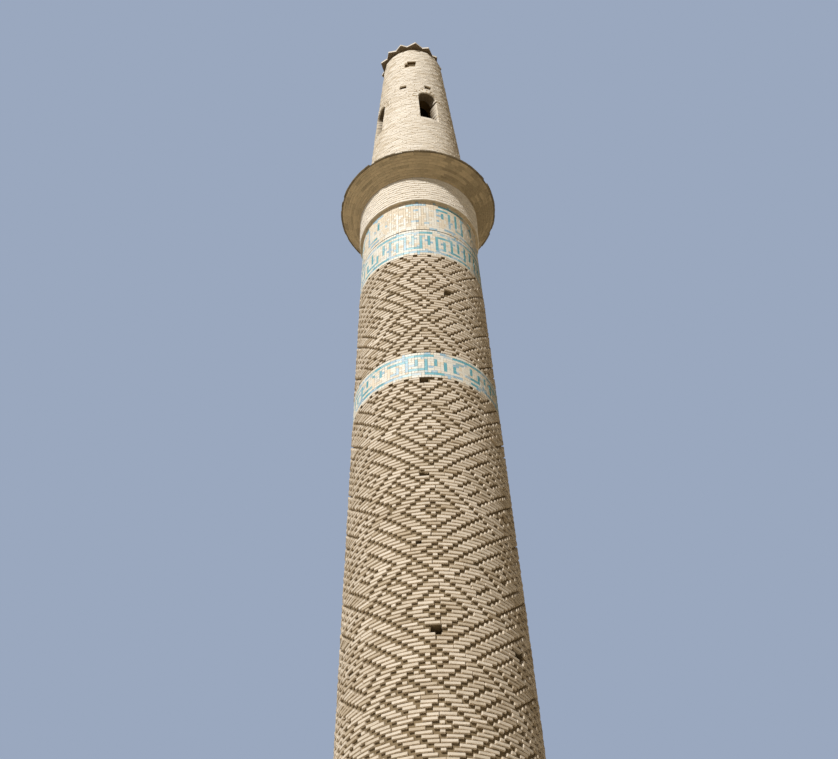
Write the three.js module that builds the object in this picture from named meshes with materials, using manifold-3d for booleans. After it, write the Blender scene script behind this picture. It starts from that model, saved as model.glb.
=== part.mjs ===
// A round brick minaret: a tapering hollow shaft with two glazed bands, a corbelled gallery
// and a smaller windowed turret with a saw-tooth crown. Millimetres, +Z up, the origin on the
// axis at ground level. Bearings are in degrees: 0 faces -Y, and they grow towards +X.
import * as THREE from 'three';
import { mergeVertices } from 'three/addons/utils/BufferGeometryUtils.js';
import Module from 'manifold-3d';

const wasm = await Module();
wasm.setup();

// Joints and round walls
const JOINT = 0.3;            // gap left between neighbouring pieces
const FACETS = 48;            // sides of each round wall
const REACH = 6000;           // further out than any wall, for cutting tools

// Levels above the ground
const FLOOR_TOP = 120;
const BASE_TOP = 2600;
const LOWER_TOP = 10700;
const BAND_1_BOTTOM = 18900;
const BAND_1_TOP = 19510;
const BAND_2_BOTTOM = 22220;
const BAND_2_SPLIT = 22980;
const BAND_2_TOP = 23860;
const CORBEL_BOTTOM = 24570;
const DECK_LEVEL = 24940;
const WINDOW_SILL = 27100;
const WINDOW_SPRING = 27970;
const TURRET_TOP = 30170;
const CROWN_TOP = 30235;

// Outer faces of the walls
const SHAFT_RADIUS = 1250;            // at the bottom of the lower band
const SHAFT_TAPER = 0.03127;          // radius lost for each unit of height
const NECK_RADIUS = 1150;
const DECK_RADIUS = 1525;
const DECK_EDGE = 35;                 // thickness of the deck's worn edge
const CORBEL_RADIUS = 1495;           // where the flare meets the deck's underside
const CORBEL_STEPS = 8;
const CORBEL_CURVE = 1.1;             // over 1, so that the flare reaches out faster near the top
const TURRET_RADIUS = 1061;           // at the gallery deck
const TURRET_TAPER = 0.0817;

// Inner faces of the walls
const WELL_RADIUS = 1240;             // at the ground
const WELL_RADIUS_DECK = 600;
const TURRET_WELL_RADIUS_TOP = 262;

// Doorway, on the far side
const DOOR_BEARING = 180;
const DOOR_HALF_WIDTH = 400;
const DOOR_SPRING = 1500;
const DOOR_RISE = 430;

// Windows of the turret
const WINDOW_BEARINGS = [21, 111, 203, 296];
const WINDOW_HALF_WIDTH = 200;
const WINDOW_RISE = 215;
const ARCH_STEPS = 6;

// Glazed bands, set into the wall
const BAND_BED = 50;                  // depth of the rebate behind the brick face
const BAND_INSET = 12;                // how far the glazed face lies behind the brick face
const BAND_GAP = 20;                  // open line between the two rows of the upper band

// Crown and roof
const TEETH = 14;
const TOOTH_TIP_RADIUS = 735;
const TOOTH_VALLEY_RADIUS = 655;
const TOOTH_BEARING = -95;
const CAP_RADIUS = 600;
const CAP_RISE = 240;
const CAP_STEPS = 5;

const BRICK = { color: 0xd9c69d, roughness: 0.92, metalness: 0 };
const PALE_BRICK = { color: 0xe4d6b6, roughness: 0.92, metalness: 0 };
const GLAZED_TILE = { color: 0x7fb3b6, roughness: 0.35, metalness: 0 };
const PAVING = { color: 0xb7a785, roughness: 0.95, metalness: 0 };

// The four segments that each whole ring of wall is built in
const SEGMENTS = { front: [-45, 45], right: [45, 135], back: [135, 225], left: [225, 315] };

const tower = new THREE.Group();

function addPiece(name, geometry, finish) {
  const piece = new THREE.Mesh(geometry, new THREE.MeshStandardMaterial(finish));
  piece.name = name;
  tower.add(piece);
}

// Radius of the shaft's brick face at a height
function shaftFace(z) {
  return SHAFT_RADIUS - SHAFT_TAPER * (z - BAND_1_BOTTOM);
}

function turretFace(z) {
  return TURRET_RADIUS - TURRET_TAPER * (z - DECK_LEVEL);
}

// Radius of the hollow inside the tower at a height
function wellFace(z) {
  if (z <= DECK_LEVEL) {
    return THREE.MathUtils.mapLinear(z, 0, DECK_LEVEL, WELL_RADIUS, WELL_RADIUS_DECK);
  }
  return THREE.MathUtils.mapLinear(z, DECK_LEVEL, TURRET_TOP, WELL_RADIUS_DECK, TURRET_WELL_RADIUS_TOP);
}

// Unit vector on the ground plan towards a bearing
function towards(bearing) {
  const angle = THREE.MathUtils.degToRad(bearing);
  return new THREE.Vector2(Math.sin(angle), -Math.cos(angle));
}

// Turns a closed geometry into a solid that can be cut
function solidOf(geometry) {
  const bare = geometry.clone();
  bare.deleteAttribute('normal');
  bare.deleteAttribute('uv');
  const welded = mergeVertices(bare);
  return new wasm.Manifold(new wasm.Mesh({
    numProp: 3,
    vertProperties: new Float32Array(welded.attributes.position.array),
    triVerts: new Uint32Array(welded.index.array),
  }));
}

function geometryOf(solid) {
  const mesh = solid.getMesh();
  const geometry = new THREE.BufferGeometry();
  geometry.setAttribute('position', new THREE.BufferAttribute(mesh.vertProperties, 3));
  geometry.setIndex(new THREE.BufferAttribute(mesh.triVerts, 1));
  return geometry;
}

// A ring around the axis. The profile is a list of [radius, height], anticlockwise.
function ring(profile) {
  const points = [...profile, profile[0]].map(([radius, height]) => new THREE.Vector2(radius, height));
  return new THREE.LatheGeometry(points, FACETS).rotateX(Math.PI / 2);
}

// Profile of a plain wall between two levels
function wallProfile(bottom, top, face) {
  const roof = top - JOINT;
  return [
    [wellFace(bottom), bottom],
    [face(bottom), bottom],
    [face(roof), roof],
    [wellFace(roof), roof],
  ];
}

// A wedge of space between two bearings, half a joint narrower on each side
function wedge([from, to]) {
  const halfSpan = THREE.MathUtils.degToRad(to - from) / 2;
  const apex = towards((from + to) / 2).multiplyScalar(JOINT / 2 / Math.sin(halfSpan));
  const shape = new THREE.Shape([
    apex,
    towards(from).multiplyScalar(REACH).add(apex),
    towards((from + to) / 2).multiplyScalar(REACH).add(apex),
    towards(to).multiplyScalar(REACH).add(apex),
  ]);
  const height = TURRET_TOP + REACH;
  const geometry = new THREE.ExtrudeGeometry(shape, { depth: height, bevelEnabled: false });
  return solidOf(geometry.translate(0, 0, -REACH / 2));
}

// A passage with a pointed arch, from the axis out through the wall at a bearing
function archPassage(bearing, halfWidth, bottom, spring, rise) {
  const centre = (rise ** 2 - halfWidth ** 2) / (2 * halfWidth);
  const radius = halfWidth + centre;
  const apexAngle = Math.atan2(rise, centre);
  const outline = new THREE.Shape();
  outline.moveTo(-halfWidth, bottom);
  outline.lineTo(halfWidth, bottom);
  outline.lineTo(halfWidth, spring);
  outline.absarc(-centre, spring, radius, 0, apexAngle, false);
  outline.absarc(centre, spring, radius, Math.PI - apexAngle, Math.PI, false);
  outline.closePath();
  const settings = { depth: REACH, bevelEnabled: false, curveSegments: ARCH_STEPS };
  const geometry = new THREE.ExtrudeGeometry(outline, settings);
  return solidOf(geometry.rotateX(Math.PI / 2).rotateZ(THREE.MathUtils.degToRad(bearing)));
}

// Adds a wall in its four segments, named for the side that each one faces
function addWall(name, profile, finish, sides = Object.keys(SEGMENTS)) {
  const whole = solidOf(ring(profile));
  for (const side of sides) {
    addPiece(`${name}_${side}`, geometryOf(whole.intersect(wedge(SEGMENTS[side]))), finish);
  }
}

// The foot of the tower: three whole segments, and the far one split around the doorway
function addBase() {
  const floorTop = FLOOR_TOP - JOINT;
  const floor = new THREE.CylinderGeometry(
    wellFace(floorTop) - JOINT, wellFace(0) - JOINT, floorTop, FACETS);
  addPiece('ground_floor', floor.rotateX(Math.PI / 2).translate(0, 0, floorTop / 2), PAVING);
  addWall('base_wall', wallProfile(0, BASE_TOP, shaftFace), BRICK, ['front', 'right', 'left']);

  const below = -REACH / 10;
  const doorway = archPassage(DOOR_BEARING, DOOR_HALF_WIDTH, below, DOOR_SPRING, DOOR_RISE);
  const [from, to] = SEGMENTS.back;
  const beside = solidOf(ring(wallProfile(0, DOOR_SPRING, shaftFace))).subtract(doorway);
  addPiece('door_jamb_right', geometryOf(beside.intersect(wedge([from, DOOR_BEARING]))), BRICK);
  addPiece('door_jamb_left', geometryOf(beside.intersect(wedge([DOOR_BEARING, to]))), BRICK);
  const over = solidOf(ring(wallProfile(DOOR_SPRING, BASE_TOP, shaftFace))).subtract(doorway);
  addPiece('door_head', geometryOf(over.intersect(wedge(SEGMENTS.back))), BRICK);

  const sillRing = solidOf(ring(wallProfile(0, FLOOR_TOP, shaftFace)));
  const slot = archPassage(DOOR_BEARING, DOOR_HALF_WIDTH - JOINT, below, DOOR_SPRING, DOOR_RISE);
  addPiece('door_sill', geometryOf(sillRing.intersect(slot)), PAVING);
}

// The top of the shaft, with a rebate for each glazed band
function upperShaftProfile() {
  const roof = BAND_2_TOP - JOINT;
  return [
    [wellFace(BAND_1_BOTTOM), BAND_1_BOTTOM],
    [shaftFace(BAND_1_BOTTOM) - BAND_BED, BAND_1_BOTTOM],
    [shaftFace(BAND_1_TOP) - BAND_BED, BAND_1_TOP],
    [shaftFace(BAND_1_TOP), BAND_1_TOP],
    [shaftFace(BAND_2_BOTTOM), BAND_2_BOTTOM],
    [shaftFace(BAND_2_BOTTOM) - BAND_BED, BAND_2_BOTTOM],
    [shaftFace(roof) - BAND_BED, roof],
    [wellFace(roof), roof],
  ];
}

// One row of glazed tile, a thin ring that lines the rebate
function addGlazedRow(name, bottom, top) {
  const sole = bottom + JOINT;
  const roof = top - JOINT;
  const row = ring([
    [shaftFace(sole) - BAND_BED + JOINT, sole],
    [shaftFace(sole) - BAND_INSET, sole],
    [shaftFace(roof) - BAND_INSET, roof],
    [shaftFace(roof) - BAND_BED + JOINT, roof],
  ]);
  addPiece(name, geometryOf(solidOf(row)), GLAZED_TILE);
}

// The plain ring above the bands, and the flare of corbelled brick that carries the gallery
function galleryProfile() {
  const flareTop = DECK_LEVEL - DECK_EDGE;
  const profile = [
    [wellFace(BAND_2_TOP), BAND_2_TOP],
    [NECK_RADIUS, BAND_2_TOP],
  ];
  for (let step = 0; step <= CORBEL_STEPS; step += 1) {
    const rise = step / CORBEL_STEPS;
    const radius = THREE.MathUtils.lerp(NECK_RADIUS, CORBEL_RADIUS, rise ** CORBEL_CURVE);
    profile.push([radius, THREE.MathUtils.lerp(CORBEL_BOTTOM, flareTop, rise)]);
  }
  profile.push(
    [DECK_RADIUS, flareTop],
    [DECK_RADIUS, DECK_LEVEL - JOINT],
    [wellFace(DECK_LEVEL - JOINT), DECK_LEVEL - JOINT],
  );
  return profile;
}

// The turret: a plain ring, a pier between each two windows, and a vault-high ring over them
function addTurret() {
  addWall('turret_wall', wallProfile(DECK_LEVEL, WINDOW_SILL, turretFace), PALE_BRICK);

  const pierRing = solidOf(ring(wallProfile(WINDOW_SILL, WINDOW_SPRING, turretFace)));
  const upperRing = solidOf(ring(wallProfile(WINDOW_SPRING, TURRET_TOP, turretFace)));
  const bottom = WINDOW_SILL - BASE_TOP;
  const passages = WINDOW_BEARINGS.map((bearing) => (
    archPassage(bearing, WINDOW_HALF_WIDTH, bottom, WINDOW_SPRING, WINDOW_RISE)));
  const count = WINDOW_BEARINGS.length;

  WINDOW_BEARINGS.forEach((bearing, index) => {
    const next = WINDOW_BEARINGS[(index + 1) % count] + (index + 1 === count ? 360 : 0);
    const before = WINDOW_BEARINGS[(index + count - 1) % count] - (index === 0 ? 360 : 0);
    const pier = pierRing.intersect(wedge([bearing, next]))
      .subtract(passages[index])
      .subtract(passages[(index + 1) % count]);
    addPiece(`turret_pier_${index + 1}`, geometryOf(pier), PALE_BRICK);
    const span = [(before + bearing) / 2, (bearing + next) / 2];
    const head = upperRing.intersect(wedge(span)).subtract(passages[index]);
    addPiece(`turret_upper_${index + 1}`, geometryOf(head), PALE_BRICK);
  });
}

// One course of bricks laid cornerwise, which stand out as teeth
function addCrown() {
  const corners = [];
  for (let tooth = 0; tooth < TEETH; tooth += 1) {
    const bearing = TOOTH_BEARING + (360 / TEETH) * tooth;
    corners.push(towards(bearing).multiplyScalar(TOOTH_TIP_RADIUS));
    corners.push(towards(bearing + 180 / TEETH).multiplyScalar(TOOTH_VALLEY_RADIUS));
  }
  const depth = CROWN_TOP - TURRET_TOP - JOINT;
  const course = new THREE.ExtrudeGeometry(new THREE.Shape(corners), { depth, bevelEnabled: false });
  addPiece('saw_tooth_course', course.translate(0, 0, TURRET_TOP), PALE_BRICK);
}

// A low brick dome closes the turret
function addRoof() {
  const profile = [new THREE.Vector2(0, 0)];
  for (let step = 0; step <= CAP_STEPS; step += 1) {
    const angle = (Math.PI / 2) * (step / CAP_STEPS);
    const radius = step === CAP_STEPS ? 0 : CAP_RADIUS * Math.cos(angle);
    profile.push(new THREE.Vector2(radius, CAP_RISE * Math.sin(angle)));
  }
  const cap = new THREE.LatheGeometry(profile, FACETS);
  addPiece('roof_cap', cap.rotateX(Math.PI / 2).translate(0, 0, CROWN_TOP), PALE_BRICK);
}

addBase();
addWall('lower_shaft', wallProfile(BASE_TOP, LOWER_TOP, shaftFace), BRICK);
addWall('middle_shaft', wallProfile(LOWER_TOP, BAND_1_BOTTOM, shaftFace), BRICK);
addWall('upper_shaft', upperShaftProfile(), BRICK);
addGlazedRow('lower_glazed_band', BAND_1_BOTTOM, BAND_1_TOP);
addGlazedRow('upper_glazed_band_lower_row', BAND_2_BOTTOM, BAND_2_SPLIT - BAND_GAP / 2);
addGlazedRow('upper_glazed_band_upper_row', BAND_2_SPLIT + BAND_GAP / 2, BAND_2_TOP);
addWall('gallery', galleryProfile(), PALE_BRICK);
addTurret();
addCrown();
addRoof();

export default tower;
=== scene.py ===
"""The looks of a round brick minaret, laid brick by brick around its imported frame. Metres, +Z up.

Bearings are in radians, 0 faces -Y, and they grow towards +X, as in the frame.
"""
import math
import random
from functools import partial

import bmesh
import bpy
from bpy.props import FloatProperty, FloatVectorProperty, IntProperty, PointerProperty
from mathutils import Matrix, Vector


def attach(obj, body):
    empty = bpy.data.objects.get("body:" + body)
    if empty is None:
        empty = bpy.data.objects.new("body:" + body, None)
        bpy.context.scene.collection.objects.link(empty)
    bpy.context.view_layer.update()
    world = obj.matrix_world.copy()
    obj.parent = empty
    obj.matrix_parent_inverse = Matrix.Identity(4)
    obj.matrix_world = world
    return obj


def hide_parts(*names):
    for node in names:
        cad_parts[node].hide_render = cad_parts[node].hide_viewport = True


bl_info = {
    "name": "Brick minaret",
    "version": (1, 0, 0),
    "blender": (4, 5, 0),
    "location": "3D View > Sidebar > Minaret",
    "description": "Lays the brickwork, glazed bands, gallery and turret of a round minaret",
    "category": "Object",
}

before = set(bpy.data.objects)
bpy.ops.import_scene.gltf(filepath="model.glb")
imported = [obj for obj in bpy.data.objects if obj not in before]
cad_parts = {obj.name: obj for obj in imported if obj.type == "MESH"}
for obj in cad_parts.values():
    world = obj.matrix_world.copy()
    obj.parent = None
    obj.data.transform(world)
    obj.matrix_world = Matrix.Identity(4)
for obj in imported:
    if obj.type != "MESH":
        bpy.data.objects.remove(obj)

BODY = "root"
SIDES = ("front", "right", "back", "left")

# Levels of the tower
BASE_TOP = 2.6
LOWER_TOP = 10.7
BAND_1_BOTTOM = 18.9
BAND_1_TOP = 19.51
BAND_2_BOTTOM = 22.22
BAND_2_SPLIT = 22.98
BAND_2_TOP = 23.86
CORBEL_BOTTOM = 24.57
DECK_LEVEL = 24.94
WINDOW_SILL = 27.1
WINDOW_SPRING = 27.97
WINDOW_WIDTH = 0.4
WINDOW_RISE = 0.215
TURRET_TOP = 30.17
CROWN_TOP = 30.235

# Outer and inner faces of the walls
SHAFT_RADIUS = 1.25
SHAFT_TAPER = 0.03127
NECK_RADIUS = 1.15
DECK_RADIUS = 1.525
DECK_EDGE = 0.035
CORBEL_RADIUS = 1.495
CORBEL_COURSES = 9
CORBEL_CURVE = 1.1
TURRET_RADIUS = 1.061
TURRET_TAPER = 0.0817
WELL_RADIUS = 1.24
WELL_RADIUS_DECK = 0.6
WELL_RADIUS_TOP = 0.262
CAP_RADIUS = 0.6
CAP_RISE = 0.24
TEETH = 14
TOOTH_TIP = 0.71
TOOTH_VALLEY = 0.625
TOOTH_ROOT = 0.45
TOOTH_HEIGHT = 0.042
TOOTH_DROP = 0.0015           # every third tooth lies at one height, so that laps don't coincide
TOOTH_SLIPS = (-0.04, 0.01, 0.01, 0.01, 0.035, 0.01, -0.03, -0.035)     # from the left of the front
TOOTH_SHIFT = Vector((-0.026, -0.012, 0.0))     # the weathered course has slid a little
TOOTH_BEARING = math.radians(-95)
RECESS_RADIUS = 0.58          # the turret's last course, set back under the teeth

# Number of courses in each part of the wall
BASE_COURSES = 38
LOWER_COURSES = 119
MIDDLE_COURSES = 121
BAND_1_COURSES = 9
UPPER_COURSES = 40
NECK_COURSES = 11
TURRET_COURSES = 78

# The raised bond, counted in units round the shaft and in courses. Lines of gaps rise as chevrons,
# and turn back in one half of each lozenge: (unit, course, reach, 1 for its upper half or -1)
UNITS = 112
REPEAT = 28
LINE_SPACING = 4
LOZENGES = ((0, 0, 10, 1), (14, 14, 10, -1), (0, 16, 4, 1), (14, 0, 4, -1))
BOND_SLIP = 1                 # units or courses that a lozenge may lie out of its place
GAP_EASE = 0.07               # units by which bricks stay back from each gap
BOND_BEARING = math.radians(2)
BOND_SEED = 5

CORE_FACETS = 112
FACE_INSET = 0.003            # keeps brick corners within the frame's faces
CUT_MARGIN = 0.006            # how much wider the mortar is cut than the openings in the brickwork
GROOVE_HALF = 0.01            # the dark line between the two rows of the upper band
GROOVE_DEPTH = 0.045

# The deck: its mortar stays below the bricks, more so where they are thin
MORTAR_DROP = 0.007
EDGE_DEPTH = 0.2
DECK_RING = 0.125             # width of a ring of bricks with its joint
DECK_BRICK = (0.118, 0.028)   # depth and thickness of a brick laid flat

ROOF_RINGS = 10
ROOF_SIDES = 64

# The stage
FLOOR_REACH = 160.0
CAMERA_PLACE = Vector((-0.097, -17.4, 1.6))
CAMERA_PITCH = math.radians(46.85)
CAMERA_ROLL = math.radians(-1.99)
FOCAL_LENGTH = 1464.6 / 838   # in widths of the picture
SENSOR_WIDTH = 36.0
# Lamps as (name, strength, spread, bearing and height in degrees)
LAMPS = (("key_light", 4.6, 3.5, -28, 47.5), ("back_light", 1.6, 8, 180, 20))
LAMP_COLOUR = "#FFFBF5"
FILL_STRENGTH = 0.23
BACKDROP_STRENGTH = 0.62


def linear(code, alpha=True):
    """Linear colour of an sRGB hex code."""
    values = []
    for start in (1, 3, 5):
        value = int(code[start:start + 2], 16) / 255
        values.append(value / 12.92 if value <= 0.04045 else ((value + 0.055) / 1.055) ** 2.4)
    return tuple(values) + ((1.0,) if alpha else ())


def colour(name, description, code):
    """A colour property with its default from a hex code."""
    return FloatVectorProperty(name=name, description=description, subtype="COLOR", size=4,
                               min=0.0, max=1.0, default=linear(code))


def length(name, description, default):
    """A length property in metres."""
    return FloatProperty(name=name, description=description, default=default, min=0.0,
                         unit="LENGTH", subtype="DISTANCE")


class MinaretSizes(bpy.types.PropertyGroup):
    """Sizes of the bricks, joints and glazed strips."""

    face_height: length("Brick height", "Height of a brick's face in the raised bond", 0.046)
    gap_depth: length("Gap depth", "How far gaps and joints lie behind the raised bricks", 0.042)
    brick_depth: length("Brick depth", "How much of a raised brick the visual model holds", 0.052)
    stretcher: length("Stretcher", "Longest brick of the raised bond", 0.228)
    shortest: length("Shortest brick", "Shortest brick of the raised bond", 0.03)
    raised_joint: length("Raised joint", "Width of the upright joints in the raised bond", 0.008)
    closer_above: length("Closer above", "Longer runs than this are a stretcher and a closer", 0.262)
    plain_brick: length("Plain brick", "Length of a brick in the plain courses", 0.225)
    plain_joint: length("Plain joint", "Width of the joints in the plain courses", 0.011)
    plain_depth: length("Plain depth", "How much of a plain brick the visual model holds", 0.06)
    plain_relief: length("Plain relief", "How far plain bricks stand in front of their mortar", 0.01)
    reveal: length("Reveal", "Depth of the bricks beside a window or doorway", 0.22)
    voussoir: length("Voussoir", "Length of the bricks that stand around an arch", 0.11)
    hole_depth: length("Hole depth", "Depth of the scaffold holes", 0.32)
    tile_joint: length("Tile joint", "Width of the joints between glazed strips", 0.004)
    tile_inset: length("Tile inset", "How far the glazed face lies behind the brick face", 0.012)
    tile_relief: length("Tile relief", "How far the strips stand in front of their bed", 0.008)
    fret_period: IntProperty(name="Fret period", description="Columns in one repeat of the fret",
                             default=18, min=18)
    fret_repeats: IntProperty(name="Fret repeats", description="Repeats of the fret around a band",
                              default=8, min=4)


class MinaretColours(bpy.types.PropertyGroup):
    """Colours of the finishes."""

    brick_light: colour("Light brick", "Palest of the shaft's bricks", "#EBE0D0")
    brick_dark: colour("Dark brick", "Darkest of the shaft's bricks", "#B6A58B")
    mortar: colour("Shaft mortar", "Raked mortar and backing brick of the shaft", "#83735A")
    pale_light: colour("Light pale brick", "Palest brick of the neck and turret", "#F7F0E4")
    pale_dark: colour("Dark pale brick", "Darkest brick of the neck and turret", "#D3C5AE")
    pale_mortar: colour("Pale mortar", "Pointing of the neck and turret", "#C9BAA0")
    # Painted shade: the dark colour put on downward faces and inside the turret, where shade falls
    soot: colour("Soot", "Lamp soot, and dust on undersides that stay dry", "#58462B")
    clay_wash: colour("Clay wash", "Washed brick under the gallery", "#CFBC9A")
    turquoise: colour("Turquoise", "Turquoise glaze", "#6CB4C4")
    light_blue: colour("Light blue", "Weathered light blue glaze", "#9CC3DA")
    cream: colour("Cream", "Cream glaze of the bands' ground", "#EDEBE1")
    ochre: colour("Ochre", "Unglazed ochre brick of the bands' ground", "#EBDFCA")
    paving: colour("Paving", "Trodden brick of the floor", "#B7A582")
    floor: colour("Studio floor", "Plain pale floor", "#A59A86")
    backdrop: colour("Backdrop", "Plain pale backdrop", "#BFD0EC")
    shade_side: colour("Shade side", "Fill light from the side away from the key light", "#7C6A50")


def sizes():
    return bpy.context.scene.minaret_sizes


def tint(name):
    """One of the minaret's colours."""
    return tuple(getattr(bpy.context.scene.minaret_colours, name))


# Shapes of the walls


def shaft_face(level):
    """Radius of the shaft's brick face at a level."""
    return SHAFT_RADIUS - SHAFT_TAPER * (level - BAND_1_BOTTOM)


def turret_face(level):
    """Radius of the turret's brick face at a level."""
    return TURRET_RADIUS - TURRET_TAPER * (level - DECK_LEVEL)


def well_face(level):
    """Radius of the hollow inside the tower at a level."""
    if level <= DECK_LEVEL:
        return WELL_RADIUS + (WELL_RADIUS_DECK - WELL_RADIUS) * level / DECK_LEVEL
    share = (level - DECK_LEVEL) / (TURRET_TOP - DECK_LEVEL)
    return WELL_RADIUS_DECK + (WELL_RADIUS_TOP - WELL_RADIUS_DECK) * share


def flare(share):
    """Radius and level of the flare under the gallery, from 0 at its foot to 1 at the deck's edge."""
    top = DECK_LEVEL - DECK_EDGE
    return (NECK_RADIUS + (CORBEL_RADIUS - NECK_RADIUS) * share ** CORBEL_CURVE,
            CORBEL_BOTTOM + (top - CORBEL_BOTTOM) * share)


def mortar_inset(radius, brick=0.225):
    """How far the mortar lies behind a round wall, so that the middles of flat bricks clear it."""
    return sizes().plain_relief + FACE_INSET + brick ** 2 / 8 / radius


def towards(bearing):
    """Unit vector on the ground plan towards a bearing."""
    return Vector((math.sin(bearing), -math.cos(bearing), 0.0))


def point(bearing, radius, level):
    """The point at a bearing, a radius and a level."""
    return towards(bearing) * radius + Vector((0, 0, level))


def turned(angle):
    """An angle brought to between minus and plus half a turn."""
    return (angle + math.pi) % math.tau - math.pi


class Opening:
    """A scaffold hole, window or doorway, or a patch of missing brick, in a round wall."""

    def __init__(self, bearing, bottom, top, width, rise=0.0, through=False, depth=None):
        self.bearing = math.radians(bearing)
        self.bottom = bottom
        self.top = top                  # springing level where it has an arch
        self.half = width / 2
        self.rise = rise
        self.through = through
        self.depth = depth              # of a patch; a scaffold hole has the depth of its kind

    def arch(self):
        """How far the centres of its two arcs lie past the middle, and the arcs' radius."""
        offset = (self.rise ** 2 - self.half ** 2) / (2 * self.half)
        return offset, self.half + offset

    def half_at(self, level, grown=0.0):
        """Half its width at a level, with its arch grown by a length."""
        if level < self.bottom:
            return 0.0
        if level <= self.top:
            return self.half
        if not self.rise:
            return 0.0
        offset, radius = self.arch()
        left = (radius + grown) ** 2 - (level - self.top) ** 2
        return max(0.0, math.sqrt(left) - offset) if left > 0 else 0.0

    def outline(self, grown):
        """Its outline as (across, level) points, anticlockwise, grown by a length."""
        half, bottom = self.half + grown, self.bottom - grown
        if not self.rise:
            top = self.top + grown
            return [(-half, bottom), (half, bottom), (half, top), (-half, top)]
        offset, radius = self.arch()
        radius += grown
        apex = math.acos(offset / radius)
        right = [(radius * math.cos(apex * i / 8) - offset, self.top + radius * math.sin(apex * i / 8))
                 for i in range(9)]
        left = [(-x, z) for x, z in reversed(right[:-1])]
        return [(-half, bottom), (half, bottom)] + right + left


# Scaffold holes as (bearing, level, width, height)
SHAFT_HOLES = (
    (-1, 18.84, 0.136, 0.085), (-3, 16.71, 0.15, 0.08), (-54, 16.65, 0.136, 0.08),
    (1, 13.74, 0.15, 0.15), (56, 13.7, 0.2, 0.12), (-29, 21.23, 0.15, 0.08),
    (23, 21.2, 0.14, 0.08), (-8, 15.36, 0.08, 0.07), (-58, 13.5, 0.14, 0.08),
)
TURRET_HOLES = ((-17, 28.42, 0.15, 0.11), (23.5, 28.42, 0.16, 0.11))
# Patches of missing face brick, as (bearing, bottom, top, width)
TURRET_PATCHES = ((-4.5, 29.33, 29.47, 0.24), (-1.5, 29.43, 29.56, 0.2), (34, 27.86, 28.1, 0.11))
PATCH_DEPTH = 0.09
WINDOW_BEARINGS = (21, 111, 203, 296)


def shaft_openings():
    """The scaffold holes of the shaft, which the far side repeats, and more of them lower down."""
    near = list(SHAFT_HOLES)
    for drop, holes in ((5.7, SHAFT_HOLES[1:5]), (9.6, SHAFT_HOLES[:3])):
        near += [(bearing, level - drop, width, height) for bearing, level, width, height in holes]
    every = near + [(bearing + 180, level, width, height) for bearing, level, width, height in near]
    return [Opening(bearing, level - height / 2, level + height / 2, width)
            for bearing, level, width, height in every]


def turret_openings():
    """The turret's windows, and its scaffold holes and patches of missing brick."""
    windows = [Opening(bearing, WINDOW_SILL, WINDOW_SPRING, WINDOW_WIDTH, WINDOW_RISE, through=True)
               for bearing in WINDOW_BEARINGS]
    holes = [Opening(bearing + turn, level - height / 2, level + height / 2, width)
             for bearing, level, width, height in TURRET_HOLES for turn in (0, 180)]
    holes += [Opening(bearing + turn, bottom, top, width, depth=PATCH_DEPTH)
              for bearing, bottom, top, width in TURRET_PATCHES for turn in (0, 180)]
    return windows, holes


# Meshes


def new_object(name, mesh):
    """Links a new object at the origin."""
    made = bpy.data.objects.new(name, mesh)
    bpy.context.scene.collection.objects.link(made)
    return made


def mesh_from(name, build):
    """A mesh whose faces point outwards, from a function that fills a bmesh."""
    work = bmesh.new()
    build(work)
    bmesh.ops.remove_doubles(work, verts=work.verts, dist=1e-6)
    bmesh.ops.recalc_face_normals(work, faces=work.faces)
    mesh = bpy.data.meshes.new(name)
    work.to_mesh(mesh)
    work.free()
    return mesh


def bridge(work, loops):
    """Quads from each closed loop of vertices to the next."""
    for here, after in zip(loops, loops[1:]):
        for i in range(len(here)):
            j = (i + 1) % len(here)
            work.faces.new((here[i], after[i], after[j], here[j]))


def close(work, ends):
    """A solid between two loops of vertices."""
    work.faces.new(ends[0])
    work.faces.new(list(reversed(ends[1])))
    bridge(work, ends)


def ring_mesh(name, profile, facets=CORE_FACETS):
    """A closed ring around the axis, from a closed profile of (radius, level) points."""
    def build(work):
        loops = [[work.verts.new(point(math.tau * step / facets, *spot)) for spot in profile]
                 for step in range(facets)]
        bridge(work, loops + loops[:1])
    return mesh_from(name, build)


def prism(work, outline, bearing, near, far):
    """A prism with an outline across a bearing, from one distance off the axis to another."""
    side = Vector((math.cos(bearing), math.sin(bearing), 0.0))
    close(work, [[work.verts.new(point(bearing, distance, z) + side * x) for x, z in outline]
                 for distance in (near, far)])


def cut(name, mesh, openings, face):
    """The mesh with its openings cut out."""
    if not openings:
        return mesh

    def build(work):
        for opening in openings:
            radius = face((opening.bottom + opening.top) / 2)
            # From nearly the axis, or from the hole's end, to well outside the wall
            near = 0.02 if opening.through else radius - (opening.depth or sizes().hole_depth)
            prism(work, opening.outline(CUT_MARGIN), opening.bearing, near, radius + 0.3)
    body, tool = new_object(name, mesh), new_object(name + "_cutter", mesh_from("cutter", build))
    modifier = body.modifiers.new("openings", "BOOLEAN")
    modifier.operation, modifier.solver, modifier.object = "DIFFERENCE", "EXACT", tool
    modifier.use_self = True
    made = plain_mesh(body)
    for used in (body, tool):
        bpy.data.objects.remove(used)
    if len(made.polygons) <= len(mesh.polygons):
        raise RuntimeError(f"{name}: the openings were not cut")
    return made


def plain_mesh(source):
    """The mesh that an object's modifiers make."""
    graph = bpy.context.evaluated_depsgraph_get()
    graph.update()
    made = bpy.data.meshes.new_from_object(source.evaluated_get(graph), preserve_all_data_layers=True,
                                           depsgraph=graph)
    if not made.polygons:
        raise RuntimeError(f"{source.name} made no faces")
    return made


def place(name, mesh, material, slot=None, nodes=()):
    """Makes a finished piece of the tower, in the place of its nodes of the frame."""
    if material is not None:
        mesh.materials.clear()
        mesh.materials.append(material)
    mesh.name = name
    piece = new_object(name, mesh)
    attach(piece, BODY)
    if nodes:
        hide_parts(*nodes)


# Nodes


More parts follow.
